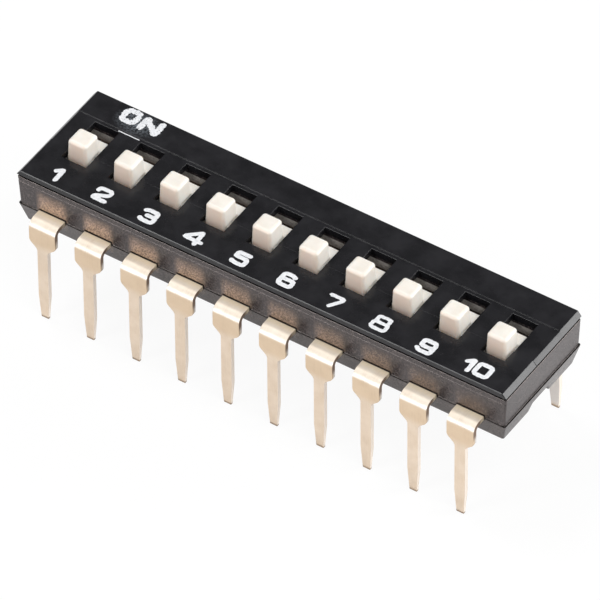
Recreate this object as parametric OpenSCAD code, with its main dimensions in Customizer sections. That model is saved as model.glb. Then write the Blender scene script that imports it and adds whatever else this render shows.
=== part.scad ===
// Slide-type DIP switch: slotted cover, moulded base, sliders with contact bridges, stamped terminals.
// +X runs along the row from position 1 to the last, +Y to the ON side, +Z up from the board surface.

/* [Layout] */
// Number of switch positions
positions = 10; // [2:1:12]
// Distance between neighbouring positions
pitch = 2.54; // [2.4:0.02:3]
// Distance between the two rows of legs at the board
row_spacing = 7.8; // [7.4:0.02:9]
// Height of the base underside above the board
standoff = 0.35; // [0.2:0.05:0.8]

/* [Cover] */
// Width of the cover across the row
cover_w = 6.3; // [6:0.1:6.6]
// Thickness of the cover plate
cover_t = 0.42; // [0.36:0.02:0.9]
// Cover length beyond the centre of the first and last position
end_margin = 1.89; // [1.75:0.01:2.6]
// Break on the cover's long edges
cover_edge = 0.05; // [0.02:0.01:0.12]
// Break on the cover's top edges at the ends
end_edge = 0.14; // [0.02:0.01:0.18]
// Height of the gap under the cover's rim
rim_gap = 0.13; // [0.04:0.01:0.16]
// Depth of the gap under the cover's rim
rim_depth = 0.2; // [0.1:0.01:0.24]
// Width of one slot
slot_w = 1.36; // [1.3:0.02:1.5]
// Offset of the slots' middle from the cover's middle, towards the ON side
slot_y = 0.06; // [-0.1:0.02:0.2]
// Depth of the shallow recess along the cover
recess_depth = 0.04; // [0.02:0.01:0.1]
// Recess beyond the slots' rear edge
recess_back = 0.18; // [0.1:0.02:0.6]
// Slot length in front of the recess
recess_front = 0.7; // [0.4:0.01:1.2]
// Depth of the faint step between the slots' front ends
apron_depth = 0.02; // [0.01:0.005:0.03]
// Diameter of the cover's locating pegs
peg_d = 0.44; // [0.3:0.02:0.56]
// Length of the cover's locating pegs
peg_h = 0.7; // [0.4:0.05:1.1]
// Radial clearance of the pegs in their holes
peg_clear = 0.02; // [0.01:0.01:0.05]

/* [Base] */
// Height of the base above the terminals' plane
upper_h = 1.69; // [1.5:0.01:2.2]
// Height of the base below the terminals' plane
lower_h = 1.09; // [0.9:0.05:1.8]
// How far the cover overhangs the base on every side
overhang = 0.03; // [0.01:0.01:0.15]
// Draft of the upper walls along the sides
upper_draft = 0.5; // [0:0.5:4]
// Draft of the upper walls at the ends
end_draft = 4; // [0:0.5:6]
// Draft of the lower walls
lower_draft = 14; // [4:1:16]
// How far the lower half stands out at the parting line, along the sides
parting_step = 0.09; // [0.03:0.01:0.15]
// How far the lower half stands out at the parting line, at the ends
end_step = 0.11; // [0.03:0.01:0.2]
// Height of the groove over the parting line
groove_h = 0.09; // [0.05:0.01:0.2]
// Depth of the groove over the parting line
groove_d = 0.05; // [0.02:0.01:0.1]
// Width of the channel along the underside
channel_w = 1.9; // [1.2:0.1:2.4]
// Depth of the channel along the underside
channel_h = 0.5; // [0.3:0.05:0.7]
// Slope of the channel's sides
channel_slope = 30; // [10:5:40]

/* [Slider] */
// Travel from off to ON
travel = 0.74; // [0.6:0.02:1.1]
// Width of the knob across the slot
knob_w = 1.02; // [0.7:0.02:1.1]
// Length of the knob along the slot
knob_l = 1.05; // [0.7:0.01:1.2]
// Height of the knob above the cover
knob_h = 0.88; // [0.5:0.02:1.4]
// Edge radius of the knob
knob_r = 0.14; // [0.06:0.02:0.24]
// Draft of the knob's sides
knob_draft = 2; // [0:0.5:4]
// Length of knob and foot together in the slot
foot_l = 1.72; // [1.4:0.02:2.2]
// Depth of the foot below the cover's top
foot_drop = 0.2; // [0.1:0.02:0.4]
// How far the foot starts behind the knob's front
foot_back = 0.2; // [0.1:0.01:0.5]
// Gap in front of the knob in the off position
front_gap = 0.22; // [0.1:0.01:0.5]
// Thickness of the flange under the cover
flange_t = 0.55; // [0.35:0.05:0.6]
// Flange width beyond the slot on each side
flange_lip = 0.19; // [0.1:0.01:0.25]
// Flange length in front of the foot
flange_toe = 0.6; // [0.3:0.05:0.8]
// Height of the two rails under the flange
rail_h = 0.28; // [0.1:0.02:0.4]
// Running clearance round the slider
run_clear = 0.06; // [0.03:0.01:0.1]
// Clearance left at the end stops
stop_clear = 0.04; // [0.02:0.01:0.1]

/* [Contact bridge] */
// Thickness of the spring strip
bridge_t = 0.1; // [0.06:0.01:0.12]
// Width of the spring strip
bridge_w = 0.86; // [0.6:0.02:1]
// Half length of the flat web under the slider
web_reach = 0.34; // [0.3:0.02:0.4]
// Radius of the rounded contact ends
contact_r = 0.16; // [0.1:0.01:0.2]
// Width of the slit between the contact fingers
slit_w = 0.18; // [0.1:0.02:0.3]
// Diameter of the stud that holds the bridge
stud_d = 0.3; // [0.2:0.02:0.34]
// Diameter of the stud's formed head
stud_head_d = 0.5; // [0.42:0.02:0.54]
// Thickness of the stud's formed head
stud_head_t = 0.08; // [0.05:0.01:0.12]
// Radial clearance of the stud in the web
stud_clear = 0.02; // [0.01:0.01:0.04]
// Working gap between the contact points and the pads
contact_gap = 0.03; // [0.02:0.01:0.06]

/* [Terminals] */
// Thickness of the terminal strip
lead_t = 0.25; // [0.2:0.01:0.3]
// Width of the strip at its shoulder
shoulder_w = 1.46; // [1.2:0.02:1.6]
// Height of the taper from shoulder to leg
shoulder_taper = 0.38; // [0.2:0.02:0.6]
// Width of the leg
leg_w = 0.58; // [0.4:0.02:0.7]
// Leg length below the board surface
leg_l = 4.3; // [2.8:0.1:5]
// Length of the tapered leg end
tip_l = 1.4; // [0.6:0.1:2]
// Width of the leg's tip
tip_w = 0.4; // [0.25:0.01:0.5]
// Thickness of the leg's tip
tip_t = 0.14; // [0.08:0.01:0.2]
// Inner radius of the bend
bend_r = 0.2; // [0.1:0.02:0.35]
// Outward splay of the legs
splay = 1; // [0:0.5:5]
// Width of the contact pad in the cavity
pad_w = 1.1; // [0.8:0.05:1.2]
// Gap between the two pads of one position
pad_gap = 0.26; // [0.2:0.02:0.4]
// How deep the wide part of the strip sits in the base wall
lead_seat = 0.6; // [0.4:0.05:0.9]

/* [Hidden] */
eps = 0.01;
arc_steps = 6;
pin_fn = 32;

// Levels above the board
lead_z = standoff + lower_h;
floor_z = lead_z + lead_t / 2;
cover_z = lead_z + upper_h;
top_z = cover_z + cover_t;

// Half lengths and widths of the cover and the base
cover_x = (positions - 1) * pitch / 2 + end_margin;
cover_y = cover_w / 2;
base_x = cover_x - overhang;
base_y = cover_y - overhang;

// Slot, slider and cavity along Y, with the slider at its off end
slot_l = front_gap + foot_l + travel + stop_clear;
slot_front = slot_y - slot_l / 2;
slot_rear = slot_front + slot_l;
foot_front = slot_front + front_gap;
foot_rear = foot_front + foot_l;
flange_front = foot_front - flange_toe;
foot_w = slot_w - 2 * run_clear;
flange_w = slot_w + 2 * flange_lip;
flange_z = cover_z - run_clear - flange_t;
knob_sink = cover_t + run_clear;
cavity_w = flange_w + 2 * run_clear;
cavity_front = flange_front - stop_clear;
cavity_rear = foot_rear + travel + stop_clear;

// Contact bridge and the split between the pads
bridge_y = (flange_front + foot_rear) / 2;
contact_reach = (foot_rear - flange_front) / 2 - contact_r - bridge_t / 2;
contact_z = floor_z + contact_gap + bridge_t / 2;
web_z = flange_z - bridge_t / 2;
split_y = bridge_y + contact_reach + travel / 2;

// Bend of a terminal: v runs outwards from the row's middle plane
mid_r = bend_r + lead_t / 2;
bend_z = lead_z - mid_r;
leg_run = (bend_z + mid_r * sin(splay)) / cos(splay);
bend_v = row_spacing / 2 - mid_r * cos(splay) - leg_run * sin(splay);
leg_end = leg_run + leg_l / cos(splay);
lead_in = base_y - lead_seat;

function named(stem) = [for (i = [1 : positions]) str(stem, i)];
function station(i) = (i - (positions + 1) / 2) * pitch;
function arc(c, r, a0, a1) =
    [for (i = [0 : arc_steps]) c + r * [cos(a0 + (a1 - a0) * i / arc_steps), sin(a0 + (a1 - a0) * i / arc_steps)]];
function mirrored(pts) = [for (i = [len(pts) - 1 : -1 : 0]) [-pts[i][0], pts[i][1]]];

// Strip of even thickness along an open line of points
function unit(v) = v / norm(v);
function side(pts, i) =
    let (d = unit(pts[min(i + 1, len(pts) - 1)] - pts[max(i - 1, 0)])) [-d[1], d[0]];
function strip(pts, t) = concat(
    [for (i = [0 : len(pts) - 1]) pts[i] + side(pts, i) * t / 2],
    [for (i = [len(pts) - 1 : -1 : 0]) pts[i] - side(pts, i) * t / 2]);

// Half outline of the base from its top down to the underside
function base_half(half, step, draft) =
    let (parting = half - upper_h * tan(draft),
         ledge = parting + step)
    [[half, cover_z],
     [half - (upper_h - groove_h) * tan(draft), lead_z + groove_h],
     [parting - groove_d, lead_z + groove_h / 2],
     [parting, lead_z],
     [ledge, lead_z],
     [ledge - lower_h * tan(lower_draft), standoff]];
function base_outline(half, step, draft) =
    concat(base_half(half, step, draft), mirrored(base_half(half, step, draft)));

// Outline of the cover plate with its top edges broken and a gap under its rim
function cover_half(half, edge) =
    [[half - edge, top_z], [half, top_z - edge], [half, cover_z + rim_gap],
     [half - rim_depth, cover_z + rim_gap], [half - rim_depth, cover_z]];
function cover_outline(half, edge) = concat(cover_half(half, edge), mirrored(cover_half(half, edge)));

// Side outline of the knob: drafted down to the flange, with rounded top corners
function knob_half(w) =
    let (base_half_w = w / 2 + (knob_h + knob_sink) * tan(knob_draft))
    concat([[base_half_w, top_z - knob_sink - eps]],
           arc([w / 2 - knob_r, top_z + knob_h - knob_r], knob_r, 0, 90));
function knob_side(w) = concat(knob_half(w), mirrored(knob_half(w)));
function knob_plan_half(w, l) =
    concat(arc([w / 2 - knob_r, -l / 2 + knob_r], knob_r, -90, 0),
           arc([w / 2 - knob_r, l / 2 - knob_r], knob_r, 0, 90));
function knob_plan(w, l) = concat(knob_plan_half(w, l), mirrored(knob_plan_half(w, l)));

// Middle line of the contact bridge from its web to one rounded contact end
function bridge_half() =
    let (slope = atan2(web_z - contact_z, contact_reach - web_reach))
    concat([[0, web_z], [web_reach, web_z]],
           arc([contact_reach, contact_z + contact_r], contact_r, -90 - slope, -15));
function bridge_line() = concat(mirrored(bridge_half()), [for (i = [1 : len(bridge_half()) - 1]) bridge_half()[i]]);

// Points of a terminal's leg, at a distance along it from the bend and an offset from its middle plane
function leg_point(along, off) =
    [bend_v + (mid_r + off) * cos(splay) + along * sin(splay),
     bend_z + (mid_r + off) * sin(splay) - along * cos(splay)];

// Front outline of a terminal: shoulder, taper, leg and tapered tip
function lead_half() =
    [[shoulder_w / 2, lead_z + lead_t], [shoulder_w / 2, shoulder_taper],
     [leg_w / 2, 0], [leg_w / 2, tip_l - leg_l], [tip_w / 2, -leg_l - lead_t]];
function lead_front() = concat(lead_half(), mirrored(lead_half()));

module along_x(length) {
    translate([-length / 2, 0, 0]) rotate([90, 0, 90]) linear_extrude(length) children();
}

module along_y(length) {
    translate([0, length / 2, 0]) rotate([90, 0, 0]) linear_extrude(length) children();
}

module block(w, y0, y1, z0, z1) {
    translate([-w / 2, y0, z0]) cube([w, y1 - y0, z1 - z0]);
}

// The four corners where the cover's pegs enter the base
module at_pegs() {
    peg_x = (station(positions) + cavity_w / 2 + base_x) / 2;
    for (x = [-peg_x, peg_x], y = [cavity_front, cavity_rear]) translate([x, y, 0]) children();
}

module cover() {
    slots_x = station(positions) + slot_w / 2;
    color([0.20, 0.20, 0.21]) {
        difference() {
            intersection() {
                along_x(2 * cover_x + eps) polygon(cover_outline(cover_y, cover_edge));
                along_y(2 * cover_y + eps) polygon(cover_outline(cover_x, end_edge));
            }
            for (i = [1 : positions]) translate([station(i), 0, 0])
                block(slot_w, slot_front, slot_rear, cover_z - eps, top_z + eps);
            block(2 * cover_x + eps, slot_front + recess_front, slot_rear + recess_back,
                  top_z - recess_depth, top_z + eps);
            block(2 * slots_x, slot_front, slot_front + recess_front + eps, top_z - apron_depth, top_z + eps);
        }
        at_pegs() translate([0, 0, cover_z - peg_h]) cylinder(d = peg_d, h = peg_h + cover_t / 2, $fn = pin_fn);
    }
}

// Space that one terminal takes up inside the base
module lead_pocket(inner_v) {
    block(pad_w, inner_v, lead_in + eps, lead_z - lead_t / 2, lead_z + lead_t / 2);
    block(shoulder_w, lead_in, cover_y + 2 * parting_step, lead_z - lead_t / 2, lead_z + lead_t / 2);
}

module base() {
    channel_top = channel_w - 2 * channel_h * tan(channel_slope);
    color([0.24, 0.235, 0.23]) difference() {
        intersection() {
            along_x(2 * (cover_x + end_step)) polygon(base_outline(base_y, parting_step, upper_draft));
            along_y(2 * (cover_y + parting_step)) polygon(base_outline(base_x, end_step, end_draft));
        }
        for (i = [1 : positions]) translate([station(i), 0, 0]) {
            block(cavity_w, cavity_front, cavity_rear, floor_z, cover_z + eps);
            lead_pocket(split_y + pad_gap / 2);
            mirror([0, 1, 0]) lead_pocket(pad_gap / 2 - split_y);
        }
        along_x(2 * (cover_x + end_step)) polygon([
            [-channel_w / 2, standoff - eps], [channel_w / 2, standoff - eps],
            [channel_top / 2, standoff + channel_h], [-channel_top / 2, standoff + channel_h]]);
        at_pegs() translate([0, 0, cover_z - peg_h - peg_clear])
            cylinder(d = peg_d + 2 * peg_clear, h = peg_h + 2 * peg_clear, $fn = pin_fn);
    }
}

// Knob cut from its two side outlines and its plan, so that every edge is rounded
module knob() {
    grow = 2 * (knob_h + knob_sink) * tan(knob_draft);
    knob_mid = foot_front + (knob_l + grow) / 2;
    translate([0, knob_mid, 0]) intersection() {
        along_x(2 * foot_l) polygon(knob_side(knob_l));
        along_y(2 * foot_l) polygon(knob_side(knob_w));
        linear_extrude(top_z + knob_h + eps) polygon(knob_plan(knob_w + grow, knob_l + grow));
    }
}

module slider(i) {
    rail_w = (flange_w - bridge_w) / 2 - run_clear;
    color([0.95, 0.93, 0.90]) translate([station(i), 0, 0]) {
        knob();
        block(foot_w, foot_front + foot_back, foot_rear, flange_z + eps, top_z - foot_drop);
        block(flange_w, flange_front, foot_rear, flange_z, flange_z + flange_t);
        for (s = [-1, 1]) translate([s * (flange_w - rail_w) / 2, 0, 0])
            block(rail_w, flange_front, foot_rear, flange_z - rail_h, flange_z + eps);
        translate([0, bridge_y, flange_z - bridge_t]) cylinder(d = stud_d, h = bridge_t + flange_t / 2, $fn = pin_fn);
        translate([0, bridge_y, flange_z - bridge_t - stud_head_t])
            cylinder(d = stud_head_d, h = stud_head_t, $fn = pin_fn);
    }
}

module contact_bridge(i) {
    finger = contact_reach + contact_r + bridge_t;
    color([0.86, 0.74, 0.52]) translate([station(i), bridge_y, 0]) difference() {
        along_x(bridge_w) polygon(strip(bridge_line(), bridge_t));
        for (s = [0, 1]) mirror([0, s, 0]) block(slit_w, web_reach + bridge_t, finger, floor_z, flange_z);
        translate([0, 0, web_z - bridge_t]) cylinder(d = stud_d + 2 * stud_clear, h = 2 * bridge_t, $fn = pin_fn);
    }
}

// Side outline of the wide part of a terminal: seat, round bend, leg and coined tip
module lead_side() {
    reach = 2 * (bend_r + lead_t);
    polygon([[lead_in, lead_z + lead_t / 2], [bend_v + eps, lead_z + lead_t / 2],
             [bend_v + eps, lead_z - lead_t / 2], [lead_in, lead_z - lead_t / 2]]);
    translate([bend_v, bend_z]) intersection() {
        difference() {
            circle(r = bend_r + lead_t, $fn = pin_fn);
            circle(r = bend_r, $fn = pin_fn);
        }
        polygon([[0, 0], [reach, reach * tan(splay)], [reach, reach], [0, reach]]);
    }
    polygon([leg_point(-eps, lead_t / 2), leg_point(leg_end - tip_l, lead_t / 2), leg_point(leg_end, tip_t / 2),
             leg_point(leg_end, -tip_t / 2), leg_point(leg_end - tip_l, -lead_t / 2), leg_point(-eps, -lead_t / 2)]);
}

// Stamped strip: contact pad, seat in the wall, bend, shoulder and leg
module terminal(inner_v) {
    color([0.90, 0.81, 0.68]) {
        block(pad_w, inner_v, lead_in + eps, lead_z - lead_t / 2, lead_z + lead_t / 2);
        intersection() {
            along_x(shoulder_w) lead_side();
            along_y(2 * row_spacing) polygon(lead_front());
        }
    }
}

module front_terminal(i) {
    translate([station(i), 0, 0]) mirror([0, 1, 0]) terminal(pad_gap / 2 - split_y);
}

module rear_terminal(i) {
    translate([station(i), 0, 0]) terminal(split_y + pad_gap / 2);
}

cover();
base();
for (i = [1 : positions]) slider(i);
for (i = [1 : positions]) contact_bridge(i);
for (i = [1 : positions]) front_terminal(i);
for (i = [1 : positions]) rear_terminal(i);
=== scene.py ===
import math

import bmesh
import bpy
from mathutils import Matrix, Vector


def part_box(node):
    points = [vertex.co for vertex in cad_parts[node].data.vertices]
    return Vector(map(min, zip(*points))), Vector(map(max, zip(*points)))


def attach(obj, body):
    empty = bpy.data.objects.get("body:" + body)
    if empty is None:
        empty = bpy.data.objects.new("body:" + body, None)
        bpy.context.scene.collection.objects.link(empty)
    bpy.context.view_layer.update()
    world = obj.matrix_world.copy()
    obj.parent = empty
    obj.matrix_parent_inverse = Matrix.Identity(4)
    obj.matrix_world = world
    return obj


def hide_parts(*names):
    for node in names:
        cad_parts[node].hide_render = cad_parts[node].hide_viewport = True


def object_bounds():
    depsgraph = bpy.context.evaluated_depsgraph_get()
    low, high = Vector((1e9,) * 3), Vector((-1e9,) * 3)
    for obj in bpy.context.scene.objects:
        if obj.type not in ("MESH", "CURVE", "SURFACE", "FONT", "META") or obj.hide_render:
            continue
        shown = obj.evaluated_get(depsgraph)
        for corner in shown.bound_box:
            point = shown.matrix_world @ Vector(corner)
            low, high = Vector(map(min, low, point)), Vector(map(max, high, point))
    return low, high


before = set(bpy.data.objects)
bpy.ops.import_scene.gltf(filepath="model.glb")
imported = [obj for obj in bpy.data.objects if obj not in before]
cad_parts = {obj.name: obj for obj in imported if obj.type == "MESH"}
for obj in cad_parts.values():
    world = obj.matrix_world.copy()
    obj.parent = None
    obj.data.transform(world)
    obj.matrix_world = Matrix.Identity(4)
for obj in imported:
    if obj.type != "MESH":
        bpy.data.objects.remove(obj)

cadLow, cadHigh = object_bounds()
mm = 1000.0  # pieces are modelled in millimetres and brought to metres when they are done
slack = 0.002  # two places this close count as one
straight = 0.9  # least share of a direction that counts as along an axis
beyond = 1.0  # how far a cutting block passes the surface
smoothAngle = 28  # degrees; sharper edges stay sharp
positions = len([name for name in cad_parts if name.startswith("slider_")])


def nodeBox(node):
    low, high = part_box(node)
    return low * mm, high * mm


def middleX(node):
    low, high = nodeBox(node)
    return (low.x + high.x) / 2


stationX = [middleX(f"slider_{i + 1}") for i in range(positions)]
pitch = stationX[1] - stationX[0]
print("frame loaded:", positions, "positions, pitch", round(pitch, 3))


# everyday modelling steps
def deselect():
    if bpy.context.mode != "OBJECT":
        bpy.ops.object.mode_set(mode="OBJECT")
    bpy.ops.object.select_all(action="DESELECT")


def makeActive(piece):
    deselect()
    piece.select_set(True)
    bpy.context.view_layer.objects.active = piece


def addBlock(low, high):
    low, high = Vector(low), Vector(high)
    deselect()
    bpy.ops.mesh.primitive_cube_add(size=1, location=(low + high) / 2)
    block = bpy.context.object
    block.scale = high - low
    bpy.ops.object.transform_apply(location=True, rotation=True, scale=True)
    return block


def addPost(x, y, radius, bottom, top, sides=32):
    deselect()
    bpy.ops.mesh.primitive_cylinder_add(
        vertices=sides, radius=radius, depth=top - bottom, location=(x, y, (bottom + top) / 2)
    )
    bpy.ops.object.transform_apply(location=True)
    return bpy.context.object


def openEdit(piece):
    makeActive(piece)
    bpy.ops.object.mode_set(mode="EDIT")


def closeEdit():
    bpy.ops.object.mode_set(mode="OBJECT")


def pick(kind, test):  # select verts, edges or faces of the open mesh by a test on each
    bpy.ops.mesh.select_mode(type=kind)
    bpy.ops.mesh.select_all(action="DESELECT")
    shape = bmesh.from_edit_mesh(bpy.context.object.data)
    for item in {"VERT": shape.verts, "EDGE": shape.edges, "FACE": shape.faces}[kind]:
        if test(item):
            item.select_set(True)
    shape.select_flush_mode()
    bmesh.update_edit_mesh(bpy.context.object.data)


def middle(item):
    return sum((v.co for v in item.verts), Vector()) / len(item.verts)


def run(edge):
    return (edge.verts[1].co - edge.verts[0].co).normalized()


def near(a, b, reach=slack):
    return abs(a - b) < reach


def looksUp(face):
    return face.normal.z > straight


def isLevel(edge):
    return abs(run(edge).z) < 1 - straight


def isUpright(edge):  # neither along X nor along Y
    return abs(run(edge).x) < straight and abs(run(edge).y) < straight


def cutAcross(axis, places):
    index = "XYZ".index(axis)
    for place in places:
        point, normal = [0, 0, 0], [0, 0, 0]
        point[index], normal[index] = place, 1
        bpy.ops.mesh.select_all(action="SELECT")
        bpy.ops.mesh.bisect(plane_co=point, plane_no=normal)


def cutBand(axis, places, width):  # a cut on either side of each place
    cutAcross(axis, [place + d for place in places for d in (-width / 2, width / 2)])


def extrudeBy(move):
    bpy.ops.mesh.extrude_region_move(TRANSFORM_OT_translate={"value": move})


def scaleBy(x, y):
    bpy.ops.transform.resize(value=(x, y, 1))


def roundEdges(radius, segments):
    bpy.ops.mesh.bevel(offset=radius, segments=segments, profile=0.5, affect="EDGES")


def fixNormals():
    bpy.ops.mesh.select_all(action="SELECT")
    bpy.ops.mesh.normals_make_consistent(inside=False)


def joined(parts):
    deselect()
    for part in parts:
        part.select_set(True)
    bpy.context.view_layer.objects.active = parts[0]
    bpy.ops.object.join()
    return bpy.context.object


def combine(piece, tool, how):  # boolean with a tool that is used up
    makeActive(piece)
    step = piece.modifiers.new("combine", "BOOLEAN")
    step.operation, step.solver, step.object = how, "EXACT", tool
    bpy.ops.object.modifier_apply(modifier=step.name)
    bpy.data.objects.remove(tool, do_unlink=True)


def copyAt(master, x):
    makeActive(master)
    bpy.ops.object.duplicate()
    copy = bpy.context.object
    copy.location.x = x
    return copy


def finishPiece(piece, name, body, slotName, finish, *nodes):
    makeActive(piece)
    bpy.ops.object.shade_smooth_by_angle(angle=math.radians(smoothAngle))
    even = piece.modifiers.new("even", "WEIGHTED_NORMAL")  # flat faces stay flat beside their rounded edges
    even.keep_sharp = True
    bpy.ops.object.modifier_apply(modifier=even.name)
    piece.location *= 1 / mm
    piece.scale = [1 / mm] * 3
    bpy.ops.object.transform_apply(location=True, rotation=True, scale=True)
    piece.name = piece.data.name = name
    piece.data.materials.clear()
    piece.data.materials.append(finish)
    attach(piece, body)
    if nodes:
        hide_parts(*nodes)


# material steps
black, white = (0, 0, 0), (1, 1, 1)
noiseSpan = (0.3, 0.7)  # where most of a noise's values lie


def newFinish(name):
    finish = bpy.data.materials.new(name)
    finish.use_nodes = True
    return finish, finish.node_tree, finish.node_tree.nodes["Principled BSDF"]


def addNode(tree, kind, **sockets):
    node = tree.nodes.new(kind)
    for name, value in sockets.items():
        node.inputs[name.replace("_", " ")].default_value = value
    return node


def millimetres(tree, stretch=(1, 1, 1), shift=(0, 0, 0)):  # object coordinates in millimetres
    source = tree.nodes.new("ShaderNodeTexCoord")
    place = addNode(tree, "ShaderNodeMapping", Location=shift, Scale=[mm * s for s in stretch])
    tree.links.new(source.outputs["Object"], place.inputs["Vector"])
    return place.outputs["Vector"]


def noise(tree, vector, scale, detail=3, roughness=0.55):
    node = addNode(tree, "ShaderNodeTexNoise", Scale=scale, Detail=detail, Roughness=roughness)
    tree.links.new(vector, node.inputs["Vector"])
    return node.outputs["Fac"]


def ramp(tree, factor, stops):
    node = tree.nodes.new("ShaderNodeValToRGB")
    for index, (place, colour) in enumerate(stops):  # a new ramp comes with two stops
        stop = node.color_ramp.elements[index] if index < 2 else node.color_ramp.elements.new(place)
        stop.position, stop.color = place, (*colour, 1)
    tree.links.new(factor, node.inputs["Fac"])
    return node.outputs["Color"]


def mottled(tree, vector, texture, places, low, high):  # noise as two tones that meet between two places
    return ramp(tree, noise(tree, vector, *texture), list(zip(places, (low, high))))


def levels(tree, factor, low, high):  # noise spread between two values
    start, end = noiseSpan
    node = addNode(tree, "ShaderNodeMapRange", To_Min=low, To_Max=high, From_Min=start, From_Max=end)
    tree.links.new(factor, node.inputs["Value"])
    return node.outputs["Result"]


def overlay(tree, factor, under, over):
    node = tree.nodes.new("ShaderNodeMix")
    node.data_type = "RGBA"
    tree.links.new(factor, node.inputs["Factor"])
    for socket, colour in (("A", under), ("B", over)):
        place = [s for s in node.inputs if s.name == socket and s.type == "RGBA"][0]
        if isinstance(colour, tuple):
            place.default_value = (*colour, 1)
        else:
            tree.links.new(colour, place)
    return [s for s in node.outputs if s.type == "RGBA"][0]


def reckon(tree, operation, *values):
    node = tree.nodes.new("ShaderNodeMath")
    node.operation = operation
    for socket, value in zip(node.inputs, values):
        if isinstance(value, (int, float)):
            socket.default_value = value
        else:
            tree.links.new(value, socket)
    return node.outputs["Value"]


def times(tree, a, b):
    return reckon(tree, "MULTIPLY", a, b)


def plus(tree, a, b):
    return reckon(tree, "ADD", a, b)


def along(tree, vector, axis):
    parts = tree.nodes.new("ShaderNodeSeparateXYZ")
    tree.links.new(vector, parts.inputs["Vector"])
    return parts.outputs[axis]


def mapped(tree, value, start, end):  # 0 to 1 between two values
    node = addNode(tree, "ShaderNodeMapRange", From_Min=start, From_Max=end)
    tree.links.new(value, node.inputs["Value"])
    return node.outputs["Result"]


def zone(tree, vector, spans):  # 1 inside a box; an axis has low end, high end and soft margin
    result = None
    for axis, (low, high, soft) in spans.items():
        place = along(tree, vector, axis)
        part = times(tree, mapped(tree, place, low - soft, low), mapped(tree, place, high + soft, high))
        result = times(tree, result, part) if result else part
    return result


def fromStation(tree, vector):  # distance along X from the nearest station
    offset = reckon(tree, "SUBTRACT", along(tree, vector, "X"), stationX[0])
    return reckon(tree, "ABSOLUTE", reckon(tree, "WRAP", offset, pitch / 2, -pitch / 2))


def byHeight(tree, height, tones):  # tones are colours or plain values at their heights
    low, high = tones[0][0], tones[-1][0]
    stops = []
    for z, tone in tones:
        colour = tone if isinstance(tone, tuple) else (tone, tone, tone)
        stops.append(((z - low) / (high - low), colour))
    return ramp(tree, mapped(tree, height, low, high), stops)


def rolled(tree, look):  # streaks along a rolled strip, in Y and Z
    return noise(tree, millimetres(tree, look["streak"]), *look["streakNoise"])


def grain(tree, shader, height, depth):  # depth in millimetres
    node = addNode(tree, "ShaderNodeBump", Strength=1.0, Distance=depth / mm)
    tree.links.new(height, node.inputs["Height"])
    tree.links.new(node.outputs["Normal"], shader.inputs["Normal"])


def mouldGrain(tree, shader, place, look):  # uneven gloss and fine grain of a moulding
    rough = levels(tree, noise(tree, place, *look["roughNoise"]), *look["roughness"])
    tree.links.new(rough, shader.inputs["Roughness"])
    grain(tree, shader, noise(tree, place, *look["grainNoise"]), look["grainDepth"])


def blend(tree, share, first, second, outKind):  # two shaders mixed into the output
    mix = tree.nodes.new("ShaderNodeMixShader")
    out = tree.nodes.new(outKind)
    for socket, source in zip(mix.inputs, (share, first, second)):
        tree.links.new(source, socket)
    tree.links.new(mix.outputs["Shader"], out.inputs["Surface"])


# looks: a noise is scale, detail and roughness, and places are in millimetres
coverLook = {
    "dark": (0.0085, 0.0084, 0.0100),
    "light": (0.0178, 0.0175, 0.0200),
    "cloud": (0.9, 4),
    "cloudStops": (0.35, 0.68),
    "roughness": (0.17, 0.25),
    "roughNoise": (2.6, 4),
    "gloss": 1.39,
    "grainNoise": (22, 3),
    "grainDepth": 0.0006,
    "smear": (0.24, 0.27, 0.30),  # faint haze of stray ink by the printed word
    "smearAt": (-10.35, 2.35, 3.55),
    "smearReach": (1.35, 0.85, 0.3),
    "smearNoise": (9, 5, 0.7),
    "smearStops": (0.42, 0.66),
    "smearStrength": 1.1,
}


def coverFinish():
    look = coverLook
    finish, tree, shader = newFinish("satinBlack")
    place = millimetres(tree)
    colour = mottled(tree, place, look["cloud"], look["cloudStops"], look["dark"], look["light"])
    reach = look["smearReach"]
    spot = millimetres(tree, [1 / r for r in reach], [-c / r for c, r in zip(look["smearAt"], reach)])
    ball = tree.nodes.new("ShaderNodeTexGradient")
    ball.gradient_type = "SPHERICAL"
    tree.links.new(spot, ball.inputs["Vector"])
    specks = mottled(tree, place, look["smearNoise"], look["smearStops"], black, white)
    haze = times(tree, times(tree, ball.outputs["Fac"], specks), look["smearStrength"])
    colour = overlay(tree, haze, colour, look["smear"])
    tree.links.new(colour, shader.inputs["Base Color"])
    shader.inputs["IOR"].default_value = look["gloss"]
    mouldGrain(tree, shader, place, look)
    return finish


baseLook = {
    "dark": (0.018, 0.0155, 0.0175),
    "light": (0.032, 0.027, 0.029),
    "cloud": (1.4, 5),
    "cloudStops": (0.32, 0.7),
    "speck": (0.12, 0.097, 0.095),
    "speckNoise": (13, 3, 0.7),
    "speckStops": (0.52, 0.70),
    "roughness": (0.17, 0.28),
    "roughNoise": (7, 4),
    "gloss": 1.57,
    "tint": (1.0, 0.88, 0.84),
    "grainNoise": (13, 4, 0.7),
    "grainDepth": 0.0075,
    "litWall": (0.56, 0.52, 0.48),  # painted light on the cavities' rear walls, where light falls in through the slots
    "litWallZone": {"X": (-12.7, 12.7, 0.02), "Y": (1.36, 1.47, 0.02), "Z": (2.55, 2.94, 0.06)},
    "litWallNoise": (10, 4, 0.7),
    "litWallRange": (0.45, 1.0),
    "tabReflection": (0.63, 0.42, 0.295),  # painted reflection of each gold terminal in the wall above it
    "tabReflectionZone": {"X": (-12.6, 12.6, 0.1), "Z": (1.5, 2.08, 0.7)},
    "tabReflectionSide": (0.90, 0.56),  # from the terminal's middle: where it ends, where it is full
    "tabReflectionFade": (16.0, -12.0),  # weaker towards position 10
    # painted glints that mottle the painted reflection
    "glint": (0.25, 0.25, 0.25),
    "glintNoise": (15, 3, 0.7),
    "glintStops": (0.42, 0.62),
    "jointShade": (0.012, 0.011, 0.010),  # painted shade in the joint under the cover and along the parting line
    "jointShadeZones": ({"Z": (3.129, 3.2, 0.006)}, {"Z": (1.439, 1.494, 0.006)}),
}


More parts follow.
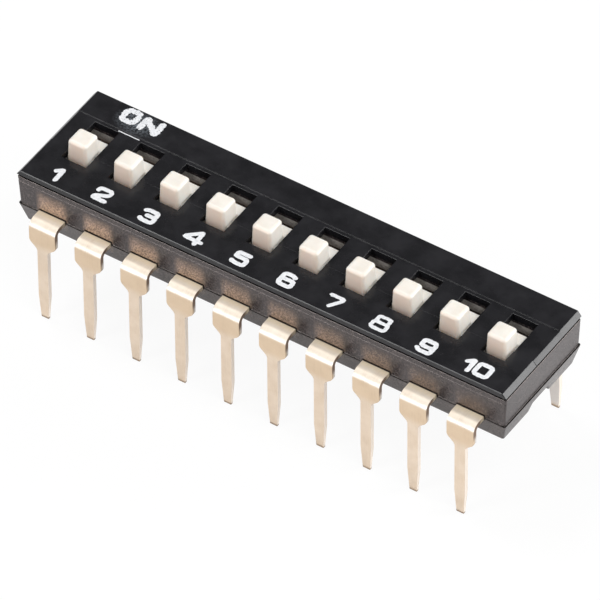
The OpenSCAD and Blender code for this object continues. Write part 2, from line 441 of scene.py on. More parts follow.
def baseFinish():
    look = baseLook
    finish, tree, shader = newFinish("mouldedGrey")
    place = millimetres(tree)
    colour = mottled(tree, place, look["cloud"], look["cloudStops"], look["dark"], look["light"])
    specks = mottled(tree, place, look["speckNoise"], look["speckStops"], black, white)
    colour = overlay(tree, specks, colour, look["speck"])
    # painted light: a mottled lit band on each cavity's rear wall
    wearAndWallLight = levels(tree, noise(tree, place, *look["litWallNoise"]), *look["litWallRange"])
    colour = overlay(tree, times(tree, zone(tree, place, look["litWallZone"]), wearAndWallLight), colour, look["litWall"])
    # painted reflection of the terminals in the wall, mottled by painted glints
    aside = mapped(tree, fromStation(tree, place), *look["tabReflectionSide"])
    fade = mapped(tree, along(tree, place, "X"), *look["tabReflectionFade"])
    glints = mottled(tree, place, look["glintNoise"], look["glintStops"], look["glint"], white)
    above = times(tree, times(tree, zone(tree, place, look["tabReflectionZone"]), glints), fade)
    colour = overlay(tree, times(tree, aside, above), colour, look["tabReflection"])
    # painted shade in the gap under the cover and on the ledge at the parting line
    for spans in look["jointShadeZones"]:
        colour = overlay(tree, zone(tree, place, spans), colour, look["jointShade"])
    tree.links.new(colour, shader.inputs["Base Color"])
    shader.inputs["IOR"].default_value = look["gloss"]
    shader.inputs["Specular Tint"].default_value = (*look["tint"], 1)
    mouldGrain(tree, shader, place, look)
    return finish


sliderLook = {
    "warm": (0.78, 0.73, 0.66),
    "light": (0.83, 0.795, 0.735),
    "cloud": (1.6, 4),
    "cloudStops": (0.3, 0.62),
    "front": (0.88, 0.74, 0.64),  # painted warm shading on the knob's front face
    "frontShadeZone": {"Y": (-1.5, -1.06, 0.16)},
    "underCoverShade": (0.26, 0.24, 0.21),  # painted shade on the part that runs under the cover
    "underCoverShadeZone": {"Z": (1.5, 3.10, 0.03)},
    "roughness": (0.30, 0.42),
    "roughNoise": (5, 3),
    "grainNoise": (8, 3),
    "grainDepth": 0.0012,
    "subsurface": 0.5,
    "subsurfaceRadius": (1.0, 0.88, 0.76),
    "subsurfaceScale": 0.0004,
}


def sliderFinish():
    look = sliderLook
    finish, tree, shader = newFinish("ivoryNylon")
    place = millimetres(tree)
    colour = mottled(tree, place, look["cloud"], look["cloudStops"], look["warm"], look["light"])
    # painted warm shading on the front of the knob
    colour = overlay(tree, zone(tree, place, look["frontShadeZone"]), colour, look["front"])
    # painted shade on the flange and rails under the cover
    colour = overlay(tree, zone(tree, place, look["underCoverShadeZone"]), colour, look["underCoverShade"])
    tree.links.new(colour, shader.inputs["Base Color"])
    shader.inputs["Subsurface Weight"].default_value = look["subsurface"]
    shader.inputs["Subsurface Radius"].default_value = look["subsurfaceRadius"]
    shader.inputs["Subsurface Scale"].default_value = look["subsurfaceScale"]
    mouldGrain(tree, shader, place, look)
    return finish


terminalLook = {
    "platingAndPaintedLight": [  # colour by height: cut tip, leg, shoulder darker as painted shade, bend with a painted highlight, top paler as painted light
        (-4.3, (0.28, 0.20, 0.15)), (-4.22, (0.36, 0.27, 0.20)),
        (-4.14, (0.80, 0.67, 0.54)), (0.0, (0.80, 0.67, 0.54)),
        (0.4, (0.74, 0.585, 0.425)), (1.2, (0.74, 0.585, 0.425)),
        (1.29, (0.98, 0.92, 0.85)), (1.37, (0.98, 0.92, 0.85)),
        (1.45, (0.87, 0.79, 0.68)), (1.6, (0.87, 0.79, 0.68)),
    ],
    "streak": (30, 1.1, 1.1),
    "streakNoise": (1.0, 4, 0.6),
    "stain": (0.58, 0.43, 0.29),
    "stainMost": (0.5, 0.5, 0.5),
    "stainNoise": (1.3, 4),
    "stainStops": (0.35, 0.65),
    "stainRange": (1.0, 0.1),
    "inner": (0.80, 0.75, 0.71),  # painted shade: greyer tone on the faces that look inwards, under the part
    "innerShadeZone": {"Y": (-3.88, 3.88, 0.04), "Z": (-4.12, 0.9, 0.02)},
    "legEdgeHighlight": (1.0, 0.90, 0.80),  # painted highlight along the legs' side edges
    "legEdgeHighlightFrom": (0.276, 0.288),
    "legEdgeHighlightZone": {"Z": (-4.14, -0.12, 0.1)},
    "taper": (-2.9, -4.3),  # heights where the tip starts and ends
    "narrowing": 0.09,
    "cut": (0.26, 0.18, 0.13),  # painted shade on the side edges of the shoulders and bends
    "edgeShadeFrom": (0.716, 0.726),
    "edgeShadeZone": {"Z": (0.95, 1.6, 0.3)},
    "yellow": (0.92, 0.80, 0.60),  # thicker plating near the moulding
    "yellowZone": {"Y": (-3.30, 3.30, 0.22)},
    "yellowRange": (0.5, 1.0),
    "rootShade": (0.03, 0.022, 0.018),  # painted shade where the strip leaves the moulding
    "rootShadeZone": {"Y": (-3.15, 3.15, 0.01)},
    "roughness": [(-4.3, 0.44), (1.22, 0.44), (1.30, 0.36), (1.36, 0.36), (1.44, 0.60), (1.6, 0.60)],
    "unevenness": (-0.06, 0.06),
    "metallic": [(-4.3, 0.85), (1.30, 0.85), (1.42, 0.5), (1.6, 0.5)],  # duller matt plating on top
    "grainDepth": 0.0009,
}


def terminalFinish():
    look = terminalLook
    finish, tree, shader = newFinish("goldStrip")
    place = millimetres(tree)
    height, across = along(tree, place, "Z"), fromStation(tree, place)
    streak = rolled(tree, look)
    # plating colour by height, with painted shade on the shoulder and painted light on the bend and top
    colour = byHeight(tree, height, look["platingAndPaintedLight"])
    stain = mottled(tree, place, look["stainNoise"], look["stainStops"], look["stainMost"], black)
    stain = times(tree, stain, levels(tree, streak, *look["stainRange"]))
    colour = overlay(tree, stain, colour, look["stain"])
    # painted shade on the inward faces of the legs
    colour = overlay(tree, zone(tree, place, look["innerShadeZone"]), colour, look["inner"])
    # painted highlight along the legs' side edges, following the tip's taper
    reach = plus(tree, across, times(tree, mapped(tree, height, *look["taper"]), look["narrowing"]))
    legEdgeHighlight = mapped(tree, reach, *look["legEdgeHighlightFrom"])
    legEdgeHighlight = times(tree, legEdgeHighlight, zone(tree, place, look["legEdgeHighlightZone"]))
    colour = overlay(tree, legEdgeHighlight, colour, look["legEdgeHighlight"])
    # painted shade on the side edges of the strip above the legs
    cut = times(tree, mapped(tree, across, *look["edgeShadeFrom"]), zone(tree, place, look["edgeShadeZone"]))
    colour = overlay(tree, cut, colour, look["cut"])
    yellow = levels(tree, streak, *look["yellowRange"])
    yellow = times(tree, zone(tree, place, look["yellowZone"]), yellow)
    colour = overlay(tree, yellow, colour, look["yellow"])
    # painted shade on the strip where it enters the moulding
    colour = overlay(tree, zone(tree, place, look["rootShadeZone"]), colour, look["rootShade"])
    tree.links.new(colour, shader.inputs["Base Color"])
    rough = byHeight(tree, height, look["roughness"])
    rough = plus(tree, rough, levels(tree, streak, *look["unevenness"]))
    tree.links.new(rough, shader.inputs["Roughness"])
    tree.links.new(byHeight(tree, height, look["metallic"]), shader.inputs["Metallic"])
    grain(tree, shader, streak, look["grainDepth"])
    return finish


contactLook = {
    "deep": (0.70, 0.49, 0.24),
    "pale": (0.84, 0.64, 0.36),
    "toneStops": (0.34, 0.64),
    "streak": (40, 1.1, 1.1),
    "streakNoise": (1.0, 4, 0.6),
    "roughness": (0.22, 0.36),
    "metallic": 1.0,
    "grainDepth": 0.0009,
}


def contactFinish():
    look = contactLook
    finish, tree, shader = newFinish("springBrass")
    streak = rolled(tree, look)
    colour = ramp(tree, streak, list(zip(look["toneStops"], (look["deep"], look["pale"]))))
    tree.links.new(colour, shader.inputs["Base Color"])
    tree.links.new(levels(tree, streak, *look["roughness"]), shader.inputs["Roughness"])
    shader.inputs["Metallic"].default_value = look["metallic"]
    grain(tree, shader, streak, look["grainDepth"])
    return finish


inkLook = {
    "worn": (0.58, 0.60, 0.63),
    "white": (0.79, 0.80, 0.82),
    "wornNoise": (7, 5, 0.7),
    "wornStops": (0.3, 0.55),
    "gap": (0.03, 0.03, 0.032),  # where the ink has come off
    "gapNoise": (11, 4, 0.7),
    "gapEdge": 0.04,
    "wearAndWallLight": {"cleanInk": 0.28, "wornInk": 0.40},
    "roughness": 0.55,
    "grainNoise": (14, 3),
    "grainDepth": 0.001,
}


def inkFinish(name):
    look = inkLook
    finish, tree, shader = newFinish(name)
    place = millimetres(tree)
    colour = mottled(tree, place, look["wornNoise"], look["wornStops"], look["worn"], look["white"])
    start = 1 - look["wearAndWallLight"][name]
    holes = mottled(tree, place, look["gapNoise"], (start, start + look["gapEdge"]), black, white)
    tree.links.new(overlay(tree, holes, colour, look["gap"]), shader.inputs["Base Color"])
    shader.inputs["Roughness"].default_value = look["roughness"]
    grain(tree, shader, noise(tree, place, *look["grainNoise"]), look["grainDepth"])
    return finish


satinBlack = coverFinish()
mouldedGrey = baseFinish()
ivoryNylon = sliderFinish()
goldStrip = terminalFinish()
springBrass = contactFinish()
cleanInk = inkFinish("cleanInk")
wornInk = inkFinish("wornInk")
print("finishes ready")


coverShape = {
    "thickness": 0.42,
    "rimGap": 0.145,
    "rimDepth": 0.20,
    "endReach": 0.02,
    "endLean": 0.21,
    "cornerRadius": 0.035,
    "topRadius": 0.035,
    "lipRadius": 0.008,
    "slotRadius": 0.012,
    "slotWidth": 1.36,
    "slotFront": -1.30,
    "slotRear": 1.42,
    "crease": 0.8,  # least angle of a slot's edges, in radians
    "margin": 0.1,  # edges this far from a line are taken with it
    "recess": {"ends": (-0.60, 1.60), "depth": 0.04, "slope": 0.05},
    "apron": {"ends": (-1.35, -0.62), "depth": 0.06, "slope": 0.043},  # between the slots' front ends
    "apronHalf": 12.11,
    "pegDiameter": 0.44,
    "pegEdge": 0.05,
    "pegRoot": 0.1,  # how far a peg reaches into the plate
    "pegs": ((12.825, -1.72), (12.825, 1.42), (-12.825, -1.72), (-12.825, 1.42)),
}


def makeCover():
    s = coverShape
    low, high = nodeBox("cover")
    top, under = high.z, high.z - s["thickness"]
    lip, inner, margin = under + s["rimGap"], s["rimDepth"], s["margin"]
    front, rear, half = s["slotFront"], s["slotRear"], s["slotWidth"] / 2
    slotEdges = [x + side * half for x in stationX for side in (-1, 1)]
    # the plate steps out to a rim, and its ends lean in towards the top
    cover = addBlock((low.x + inner, low.y + inner, under), (high.x - inner, high.y - inner, lip))
    openEdit(cover)
    pick("FACE", looksUp)
    extrudeBy((0, 0, 0))
    end = high.x + s["endReach"]
    scaleBy(end / (high.x - inner), high.y / (high.y - inner))
    extrudeBy((0, 0, top - lip))
    scaleBy((end - s["endLean"]) / end, 1)
    pick("EDGE", isUpright)
    roundEdges(s["cornerRadius"], segments=4)
    pick("EDGE", lambda e: near(e.verts[0].co.z, top) and near(e.verts[1].co.z, top))
    roundEdges(s["topRadius"], segments=1)
    pick("EDGE", lambda e: near(middle(e).z, lip) and isLevel(e)
         and (abs(middle(e).x) > high.x - margin or abs(middle(e).y) > high.y - margin))
    roundEdges(s["lipRadius"], segments=2)
    cutAcross("X", slotEdges)
    cutAcross("Y", (front, rear))
    for x in stationX:  # open each slot from top to bottom
        pick("FACE", lambda f: abs(f.normal.z) > straight and abs(middle(f).x - x) < half
             and front < middle(f).y < rear)
        bpy.ops.mesh.bridge_edge_loops()
    pick("EDGE", lambda e: e.calc_face_angle(0) > s["crease"] and abs(middle(e).x) < slotEdges[-1] + margin
         and front - margin < middle(e).y < rear + margin)
    roundEdges(s["slotRadius"], segments=3)
    # shallow steps of the top, each a band of points let down
    recess, apron, edge = s["recess"], s["apron"], s["apronHalf"]
    cutBand("Y", recess["ends"], recess["slope"])
    cutBand("Y", apron["ends"], apron["slope"])
    cutBand("X", (-edge, edge), apron["slope"])
    lowest = top - s["topRadius"] - recess["depth"] - slack
    for step, reach in ((recess, high.x + beyond), (apron, edge)):
        start, stop = step["ends"]
        pick("VERT", lambda v: v.co.z > lowest and start < v.co.y < stop and abs(v.co.x) < reach)
        bpy.ops.transform.translate(value=(0, 0, -step["depth"]))
    fixNormals()
    closeEdit()
    pegs = []
    for x, y in s["pegs"]:
        peg = addPost(x, y, s["pegDiameter"] / 2, low.z, under + s["pegRoot"])
        openEdit(peg)
        pick("EDGE", lambda e: near(middle(e).z, low.z))
        roundEdges(s["pegEdge"], segments=2)
        closeEdit()
        pegs.append(peg)
    combine(cover, joined(pegs), "UNION")
    finishPiece(cover, "coverPlate", "housing", "cover_plastic", satinBlack, "cover")
    print("cover made:", len(stationX), "slots")


baseShape = {
    "upperDraft": (3.4, 0.5),  # ends, sides
    "lowerDraft": 14,
    "topHalf": (13.335, 3.125),
    "step": (0.07, 0.06),  # ends, sides
    "groove": (0.06, 0.035),  # height, depth
    "flute": (0.15, 0.14, 0.015),  # faint hollow along the sides: distance from the top, height, depth
    "cornerRadius": 0.09,
    "edgeRadius": (0.03, 0.048),  # below, above
    "cavity": (0.93, -1.72, 1.42, 1.565),  # half width, front, rear, floor
    "channel": (0.95, 0.66, 0.5),  # half width below, half width above, depth
    "channelStart": 0.2,  # its sides begin this far below the underside
    "padOverlap": 0.01,
    "seatGap": 0.065,
    "seatOut": 4,  # the seats run out through the sides
    "pegGap": 0.02,
}


def makeBase():
    s, strip = baseShape, terminalShape
    low, high = nodeBox("base")
    lead = strip["leadPlane"]
    both = Vector((1, 1))
    upper = Vector([math.tan(math.radians(a)) for a in s["upperDraft"]])
    lower = both * math.tan(math.radians(s["lowerDraft"]))
    height, depth = s["groove"]
    top = Vector(s["topHalf"])
    parting = top - (high.z - lead) * upper
    ledge = parting + Vector(s["step"])
    foot = ledge - (lead - low.z) * lower
    down, tall, hollow = s["flute"]
    inward = Vector((0, hollow))
    fluteTop, topHalf = high.z - down, top - down * upper
    fluteLow, lowHalf = fluteTop - tall, top - (down + tall) * upper
    rows = [
        (lead, ledge), (lead, parting), (lead + height / 2, parting - both * depth),
        (lead + height, parting + height * upper),
        (fluteLow, lowHalf), (fluteLow + hollow, lowHalf - inward),
        (fluteTop - hollow, topHalf - inward), (fluteTop, topHalf), (high.z, top),
    ]
    # start from the underside and pull the block up row by row
    base = addBlock((-foot.x, -foot.y, low.z), (foot.x, foot.y, lead))
    openEdit(base)
    pick("FACE", looksUp)
    scaleBy(ledge.x / foot.x, ledge.y / foot.y)
    for (z0, half0), (z1, half1) in zip(rows, rows[1:]):
        extrudeBy((0, 0, z1 - z0))
        scaleBy(half1.x / half0.x, half1.y / half0.y)
    pick("EDGE", isUpright)
    roundEdges(s["cornerRadius"], segments=4)
    for z, radius in zip((low.z, high.z), s["edgeRadius"]):
        pick("EDGE", lambda e: isLevel(e) and near(middle(e).z, z))
        roundEdges(radius, segments=3)
    closeEdit()
    # cavities, channel, peg holes and the seats of the strips
    half, front, rear, floor = s["cavity"]
    above = high.z + beyond
    cavities = [addBlock((x - half, front, floor), (x + half, rear, above)) for x in stationX]
    combine(base, joined(cavities), "DIFFERENCE")
    wide, narrow, deep = s["channel"]
    past = ledge.x + beyond
    channel = addBlock((-past, -wide, low.z - s["channelStart"]), (past, wide, low.z + deep))
    openEdit(channel)
    pick("FACE", looksUp)
    scaleBy(1, narrow / wide)
    closeEdit()
    combine(base, channel, "DIFFERENCE")
    pegRadius = coverShape["pegDiameter"] / 2 + s["pegGap"]
    pegLow = nodeBox("cover")[0].z - s["pegGap"]
    holes = [addPost(x, y, pegRadius, pegLow, above) for x, y in coverShape["pegs"]]
    combine(base, joined(holes), "DIFFERENCE")
    gap, out = s["seatGap"], s["seatOut"]
    under, over = lead - strip["thickness"] / 2, lead + strip["thickness"] / 2
    padHalf, seatHalf, seat = strip["padHalf"], strip["seatHalf"] + gap / 2, strip["seatFrom"]
    frontPad, rearPad = strip["padEnds"]
    padSeat = seat + s["padOverlap"]
    pads, seats = [], []
    for x in stationX:
        for y0, y1 in ((-padSeat, frontPad), (rearPad, padSeat)):
            pads.append(addBlock((x - padHalf, y0, under), (x + padHalf, y1, over)))
        for y0, y1 in ((-out, -seat), (seat, out)):
            seats.append(addBlock((x - seatHalf, y0, under), (x + seatHalf, y1, over + gap)))
    combine(base, joined(pads), "DIFFERENCE")
    combine(base, joined(seats), "DIFFERENCE")
    finishPiece(base, "baseBody", "housing", "base_plastic", mouldedGrey, "base")
    print("base made")


sliderShape = {
    "flangeHalf": 0.87,
    "flangeFront": -1.68,
    "rear": 0.64,
    "flangeZ": (2.52, 3.07),
    "railInner": 0.49,
    "railDepth": 0.28,
    "footHalf": 0.62,
    "footFront": -0.88,
    "footTop": 3.35,
    "footRadius": 0.03,
    "knob": (0.51, -1.0325, 0.0175),  # half width, front, rear at the top
    "knobRoot": 0.1,  # how far the knob's block starts inside the flange
    "knobRadius": 0.17,
    "draft": 2,
    "stud": (0.15, 0.25, 0.08),  # radius, head radius, head thickness
    "studY": -0.52,
    "studRoot": 0.2,
    "bridge": 0.10,
}


def makeSlider():
    s = sliderShape
    top = nodeBox("slider_1")[1].z
    under, deck = s["flangeZ"]
    half, front, rear = s["knob"]
    footHalf, footFront, footTop = s["footHalf"], s["footFront"], s["footTop"]
    slider = addBlock((-s["flangeHalf"], s["flangeFront"], under), (s["flangeHalf"], s["rear"], deck))
    openEdit(slider)
    cutAcross("X", (-footHalf, footHalf, -s["railInner"], s["railInner"]))
    cutAcross("Y", (footFront,))
    pick("FACE", lambda f: f.normal.z < -straight and abs(middle(f).x) > s["railInner"])
    extrudeBy((0, 0, -s["railDepth"]))
    pick("FACE", lambda f: looksUp(f) and abs(middle(f).x) < footHalf and middle(f).y > footFront)
    extrudeBy((0, 0, footTop - deck))
    pick("EDGE", lambda e: near(middle(e).z, footTop) and isLevel(e) and (
        near(abs(middle(e).x), footHalf) or near(middle(e).y, footFront) or near(middle(e).y, s["rear"])))
    roundEdges(s["footRadius"], segments=3)
    closeEdit()
    bottom = deck - s["knobRoot"]
    spread = (top - bottom) * math.tan(math.radians(s["draft"]))
    knob = addBlock((-half - spread, front - spread, bottom), (half + spread, rear + spread, top))
    openEdit(knob)
    pick("FACE", looksUp)
    scaleBy(half / (half + spread), (rear - front) / (rear - front + 2 * spread))
    pick("EDGE", lambda e: middle(e).z > footTop)
    roundEdges(s["knobRadius"], segments=6)
    closeEdit()
    combine(slider, knob, "UNION")
    radius, headRadius, headThickness = s["stud"]
    headTop = under - s["bridge"]
    stud = addPost(0, s["studY"], headRadius, headTop - headThickness, headTop)
    openEdit(stud)
    pick("FACE", looksUp)
    extrudeBy((0, 0, 0))
    scaleBy(radius / headRadius, radius / headRadius)
    extrudeBy((0, 0, s["bridge"] + s["studRoot"]))
    closeEdit()
    combine(slider, stud, "UNION")
    return slider


terminalShape = {
    "thickness": 0.25,
    "padHalf": 0.55,
    "padEnds": (0.67, 0.93),  # places along Y of the front and rear pads' inner ends
    "seatHalf": 0.73,
    "seatFrom": 2.52,
    "leadPlane": 1.44,
    "bendInner": 0.20,
    "bendAt": 3.555,
    "bendSteps": 10,
    "splay": 1,
    "shoulderEnd": 0.38,
    "legHalf": 0.29,
    "tipFrom": -2.9,
    "tip": (0.20, 0.14),  # half width, thickness
    "shoulderRadius": 0.13,
    "shoulderReach": 0.05,  # edges this near a corner's height belong to it
    "edgeRadius": 0.022,
    "edgeAngle": 45,  # degrees; sharper edges are rounded
}


def makeTerminal(innerEnd, side):  # side is -1 for the front row and 1 for the rear row
    s = terminalShape
    tipZ = nodeBox("front_terminal_1")[0].z
    lead, halfThick = s["leadPlane"], s["thickness"] / 2
    under, over = lead - halfThick, lead + halfThick
    splay = math.radians(s["splay"])
    centre = Vector((0, side * s["bendAt"], under - s["bendInner"]))
    ends = sorted((innerEnd, side * s["seatFrom"]))
    strip = addBlock((-s["padHalf"], ends[0], under), (s["padHalf"], ends[1], over))
    openEdit(strip)
    pick("FACE", lambda f: f.normal.y * side > straight)
    extrudeBy((0, 0, 0))
    scaleBy(s["seatHalf"] / s["padHalf"], 1)
    extrudeBy((0, side * (s["bendAt"] - s["seatFrom"]), 0))
    bpy.ops.mesh.spin(steps=s["bendSteps"], angle=math.pi / 2 - splay, center=centre, axis=(side, 0, 0))
    down = Vector((0, side * math.sin(splay), -math.cos(splay)))
    reached = centre.z + (halfThick + s["bendInner"]) * math.sin(splay)

    def pullTo(z, widthRatio=1.0, thicknessRatio=1.0):
        nonlocal reached
        extrudeBy(down * (reached - z) / math.cos(splay))
        scaleBy(widthRatio, thicknessRatio)
        reached = z

    pullTo(s["shoulderEnd"])
    pullTo(0, s["legHalf"] / s["seatHalf"])
    pullTo(s["tipFrom"])
    pullTo(tipZ, s["tip"][0] / s["legHalf"], s["tip"][1] / s["thickness"])
    fixNormals()
    corners, reach = (s["shoulderEnd"], 0), s["shoulderReach"]
    pick("EDGE", lambda e: abs(run(e).y) > straight and any(near(middle(e).z, z, reach) for z in corners))
    roundEdges(s["shoulderRadius"], segments=4)
    bpy.ops.mesh.select_all(action="DESELECT")
    bpy.ops.mesh.edges_select_sharp(sharpness=math.radians(s["edgeAngle"]))
    roundEdges(s["edgeRadius"], segments=2)
    closeEdit()
    return strip


def placeCopies(master, name, node, body, slotName, finish):
    for i, x in enumerate(stationX):
        piece = copyAt(master, x)
        finishPiece(piece, f"{name}{i + 1}", body.format(i + 1), slotName, finish, f"{node}_{i + 1}")
    bpy.data.objects.remove(master, do_unlink=True)


printShape = {
    "height": 0.68,  # between the middle lines of the strokes
    "width": 0.66,
    "stroke": 0.24,
    "thin": {"4": 0.225, "7": 0.21, "8": 0.20},  # signs drawn with a finer pen
    "nudge": {"9": (0.0, -0.10), "3": (0.04, 0.0), "4": (0.04, 0.0)},
    "shift": -0.20,
    "row": -2.38,
    "digitStep": 0.80,
    "ink": 0.008,
    "voxel": 0.022,
    "wordAt": ((-10.88, 2.55), (-9.72, 2.50)),
    "wordWidth": (0.68, 0.84),
    "wordStroke": 0.295,
    "wordHeight": 0.70,
    "ragged": (0.05, 0.17),  # numbers, word
    "raggedScale": 0.10,
    "line": (-10.84, -9.72, 1.50, 0.055),  # ends, place and width of the thin line
    "penSteps": 3,
    "penEnd": ((90, 0.02), (60, 0.5), (30, 0.75 ** 0.5)),  # angles round a stroke's end and sizes there
    "cornerCut": 0.25,
}
squareLoop = [
    (0, 0.5), (0.5, 0.5), (0.5, 0), (0.5, -0.5), (0, -0.5), (-0.5, -0.5), (-0.5, 0), (-0.5, 0.5), (0, 0.5),
]
roundLoop = [
    (0, 0.5), (0.34, 0.5), (0.5, 0.3), (0.5, -0.3), (0.34, -0.5),
    (-0.34, -0.5), (-0.5, -0.3), (-0.5, 0.3), (-0.34, 0.5), (0, 0.5),
]
strokes = {  # open strokes, and closed ones that end where they begin
    "1": [[(-0.18, 0.20), (0.05, 0.37), (0.26, 0.54), (0.26, 0.2), (0.26, -0.54)]],
    "2": [[(-0.48, 0.26), (-0.44, 0.5), (0.0, 0.52), (0.5, 0.52), (0.5, 0.1),
           (0.1, -0.06), (-0.4, -0.26), (-0.52, -0.5), (-0.1, -0.5), (0.5, -0.5)]],
    "3": [[(-0.5, 0.4), (-0.3, 0.5), (0.1, 0.5), (0.48, 0.5), (0.48, 0.04), (0.1, 0.02), (-0.16, 0.02)],
          [(-0.16, 0.02), (0.2, 0.02), (0.52, 0.0), (0.52, -0.5), (0.1, -0.5), (-0.3, -0.5), (-0.5, -0.4)]],
    "4": [[(0.28, -0.55), (0.28, 0.0), (0.28, 0.60), (0.20, 0.60), (-0.26, 0.20),
           (-0.70, -0.16), (-0.70, -0.25), (0.0, -0.25), (0.64, -0.25)]],
    "5": [[(0.46, 0.5), (0.0, 0.5), (-0.44, 0.5), (-0.46, 0.28), (-0.46, 0.08), (0.0, 0.1),
           (0.5, 0.1), (0.5, -0.2), (0.5, -0.5), (0.1, -0.5), (-0.3, -0.5), (-0.5, -0.4)]],
    "6": [[(0.36, 0.44), (0.1, 0.53), (-0.5, 0.54), (-0.5, 0), (-0.5, -0.52), (0, -0.52),
           (0.5, -0.52), (0.5, -0.2), (0.5, 0.04), (0.0, 0.05), (-0.46, 0.03)]],
    "7": [[(-0.5, 0.5), (0.0, 0.5), (0.5, 0.5), (0.46, 0.3), (0.2, -0.06), (-0.12, -0.5)]],
    "8": [[(0.94 * x, 0.31 + 0.54 * y) for x, y in squareLoop],
          [(1.12 * x, -0.26 + 0.60 * y) for x, y in squareLoop]],
    "9": [[(-0.58, -0.38), (-0.36, -0.52), (0.1, -0.52), (0.5, -0.52), (0.5, 0), (0.5, 0.52),
           (0, 0.52), (-0.46, 0.52), (-0.46, 0.2), (-0.46, -0.04), (0.0, -0.05), (0.46, -0.03)]],
    "0": [squareLoop],
    "O": [roundLoop],
    "N": [[(-0.5, -0.5), (-0.5, 0.0), (-0.5, 0.5), (-0.42, 0.5), (0.0, 0.0),
           (0.42, -0.5), (0.5, -0.5), (0.5, 0.0), (0.5, 0.5)]],
}


def softened(points):  # corners cut twice, so that a pen would follow them
    part = printShape["cornerCut"]
    for _ in range(2):
        cut = [points[0]]
        for a, b in zip(points, points[1:]):
            cut += [a.lerp(b, part), a.lerp(b, 1 - part)]
        points = cut + [points[-1]]
    return points


def newPen(stroke):
    deselect()
    bpy.ops.object.add(type="CURVE")
    pen = bpy.context.object
    pen.data.dimensions = "3D"
    pen.data.bevel_depth, pen.data.bevel_resolution = stroke / 2, printShape["penSteps"]
    pen.data.use_fill_caps = True
    return pen


def penStroke(curve, points, radius):  # round ends come from points whose radius shrinks
    start, end = (points[0] - points[1]).normalized(), (points[-1] - points[-2]).normalized()
    cap = [(radius * math.sin(math.radians(angle)), size) for angle, size in printShape["penEnd"]]
    path = [(points[0] + start * reach, size) for reach, size in cap]
    path += [(p, 1.0) for p in points]
    path += [(points[-1] + end * reach, size) for reach, size in reversed(cap)]
    spline = curve.splines.new("POLY")
    spline.points.add(len(path) - 1)
    for point, (place, size) in zip(spline.points, path):
        point.co, point.radius = (*place, 0, 1), size


def drawSign(sign, centre, width, height, stroke):
    pen = newPen(stroke)
    for line in strokes[sign]:
        points = [Vector((centre[0] + x * width, centre[1] + y * height)) for x, y in line]
        penStroke(pen.data, softened(points), stroke / 2)
    bpy.ops.object.convert(target="MESH")
    return bpy.context.object


def pressInk(ink, stroke, surface):  # flatten round strokes to a film on the cover
    openEdit(ink)
    bpy.ops.mesh.select_all(action="SELECT")
    bpy.ops.transform.resize(value=(1, 1, printShape["ink"] * 2 / stroke), center_override=(0, 0, 0))
    bpy.ops.transform.translate(value=(0, 0, surface))
    closeEdit()


def flattenInk(ink, surface):  # one skin over the crossing strokes, then pressed
    makeActive(ink)
    skin = ink.modifiers.new("skin", "REMESH")
    skin.mode, skin.voxel_size = "VOXEL", printShape["voxel"]
    bpy.ops.object.modifier_apply(modifier=skin.name)
    pressInk(ink, printShape["stroke"], surface)


def roughenOutline(ink, strength):  # ragged edge of a worn stamp
    tear = bpy.data.textures.new("tear", "CLOUDS")
    tear.noise_scale = printShape["raggedScale"]
    for axis in ("X", "Y"):
        makeActive(ink)
        shake = ink.modifiers.new("shake", "DISPLACE")
        shake.texture, shake.texture_coords, shake.direction = tear, "LOCAL", axis
        shake.strength, shake.mid_level = strength, 0.5
        bpy.ops.object.modifier_apply(modifier=shake.name)


def makeNumbers(surface):
    p = printShape
    signs = []
    for i, x in enumerate(stationX):
        text = str(i + 1)
        for k, sign in enumerate(text):
            offset = (k - (len(text) - 1) / 2) * p["digitStep"]
            aside, up = p["nudge"].get(text, (0, 0))
            at = (x + p["shift"] + offset + aside, p["row"] + up)
            signs.append(drawSign(sign, at, p["width"], p["height"], p["thin"].get(text, p["stroke"])))
    numbers = joined(signs)
    flattenInk(numbers, surface)
    roughenOutline(numbers, p["ragged"][0])
    finishPiece(numbers, "printedNumbers", "housing", "cover_plastic", cleanInk)
    print("numbers printed:", len(numbers.data.polygons), "faces")


def makeWord(surface):
    p = printShape
    word = joined([drawSign(sign, at, width, p["wordHeight"], p["wordStroke"])
                   for sign, at, width in zip("ON", p["wordAt"], p["wordWidth"])])
    flattenInk(word, surface)
    roughenOutline(word, p["ragged"][1])
    finishPiece(word, "printedWord", "housing", "cover_plastic", wornInk)
    print("word printed")


def makeLine(surface):
    left, right, y, width = printShape["line"]
    pen = newPen(width)
    penStroke(pen.data, [Vector((x, y)) for x in (left, (left + right) / 2, right)], width / 2)
    bpy.ops.object.convert(target="MESH")
    line = bpy.context.object
    pressInk(line, width, surface)
    finishPiece(line, "printedLine", "housing", "cover_plastic", cleanInk)
    print("line printed")


makeCover()
makeBase()
placeCopies(makeSlider(), "slider", "slider", "actuator_{}", "slider_plastic", ivoryNylon)
print("sliders placed")
rowNames = (("frontTerminal", "front_terminal"), ("rearTerminal", "rear_terminal"))
for (name, node), innerEnd, side in zip(rowNames, terminalShape["padEnds"], (-1, 1)):
    placeCopies(makeTerminal(innerEnd, side), name, node, "housing", "terminal_metal", goldStrip)
print("terminals placed")
coverTop = nodeBox("cover")[1].z
makeNumbers(coverTop)
makeWord(coverTop)
makeLine(coverTop - coverShape["recess"]["depth"])
for i in range(positions):  # the contact bridges keep their solids
    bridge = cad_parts[f"contact_bridge_{i + 1}"]
    bridge.data.materials.clear()
    bridge.data.materials.append(springBrass)

stageShape = {
    "floorSize": 3.0,
    "floorGap": 0.00002,
    "floorWhite": 0.92,
    "seen": 0.92,  # share of plain white that the camera sees in the floor
    "mirrored": 0.25,  # and that glossy surfaces mirror
    "world": 0.18,
}


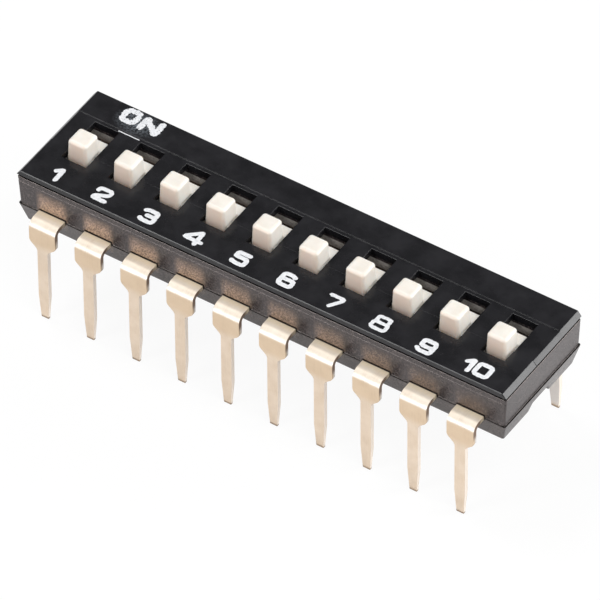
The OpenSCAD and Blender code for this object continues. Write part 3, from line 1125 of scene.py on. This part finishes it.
def makeFloor():
    s = stageShape
    deselect()
    bpy.ops.mesh.primitive_plane_add(size=s["floorSize"], location=(0, 0, cadLow.z - s["floorGap"]))
    floor = bpy.context.object
    floor.name = "studioFloor"
    finish, tree, _ = newFinish("paleFloor")
    tree.nodes.clear()
    paper = addNode(tree, "ShaderNodeBsdfDiffuse", Color=(*[s["floorWhite"]] * 3, 1))
    bright = addNode(tree, "ShaderNodeEmission", Color=(*white, 1), Strength=1.0)
    path = tree.nodes.new("ShaderNodeLightPath")
    seen = times(tree, path.outputs["Is Camera Ray"], s["seen"])
    share = plus(tree, seen, times(tree, path.outputs["Is Glossy Ray"], s["mirrored"]))
    blend(tree, share, paper.outputs["BSDF"], bright.outputs["Emission"], "ShaderNodeOutputMaterial")
    floor.data.materials.append(finish)


def makeWorld():
    world = bpy.data.worlds.new("studio")
    bpy.context.scene.world = world
    world.use_nodes = True
    tree = world.node_tree
    tree.nodes.clear()
    room = addNode(tree, "ShaderNodeBackground", Color=(*white, 1), Strength=stageShape["world"])
    bright = addNode(tree, "ShaderNodeBackground", Color=(*white, 1), Strength=1.0)
    seen = tree.nodes.new("ShaderNodeLightPath").outputs["Is Camera Ray"]
    blend(tree, seen, room.outputs["Background"], bright.outputs["Background"], "ShaderNodeOutputWorld")


lamps = {  # place, size and power of each soft lamp; all look at the part
    "keyLamp": ((0.32, -0.15, 0.48), 0.30, 1.72),
    "topLamp": ((-0.27, 0.05, 0.53), 0.20, 1.42),
    "edgeLamp": ((-0.22, -0.38, 0.31), 0.15, 0.68),
    "frontLamp": ((-0.24, -0.54, 0.10), 0.18, 0.4),
    "sideLamp": ((0.47, 0.335, 0.155), 0.30, 2.5),
}


def makeLamps():
    for name, (place, size, power) in lamps.items():
        deselect()
        bpy.ops.object.light_add(type="AREA", location=place)
        lamp = bpy.context.object
        lamp.name = name
        lamp.data.size, lamp.data.energy = size, power
        lamp.rotation_euler = (-Vector(place)).to_track_quat("-Z", "Y").to_euler()
        lamp.visible_camera = False


cameraView = {
    "place": (0.18685, -0.27047, 0.33054),
    "right": (0.8315, 0.5553, -0.0154),
    "ahead": (-0.4005, 0.5800, -0.7094),
    "lens": 612.7,
    "sensor": 36,
    "clip": (0.01, 10),
}


def makeCamera():
    v = cameraView
    deselect()
    bpy.ops.object.camera_add(location=v["place"])
    camera = bpy.context.object
    right, back = Vector(v["right"]).normalized(), -Vector(v["ahead"]).normalized()
    up = back.cross(right).normalized()
    turn = Matrix((right, up, back)).transposed()
    camera.rotation_euler = turn.to_euler()
    camera.data.lens, camera.data.sensor_width = v["lens"], v["sensor"]
    camera.data.clip_start, camera.data.clip_end = v["clip"]
    bpy.context.scene.camera = camera


makeFloor()
makeWorld()
makeLamps()
makeCamera()
bpy.context.scene.view_settings.view_transform = "Standard"
print("stage set")

deselect()
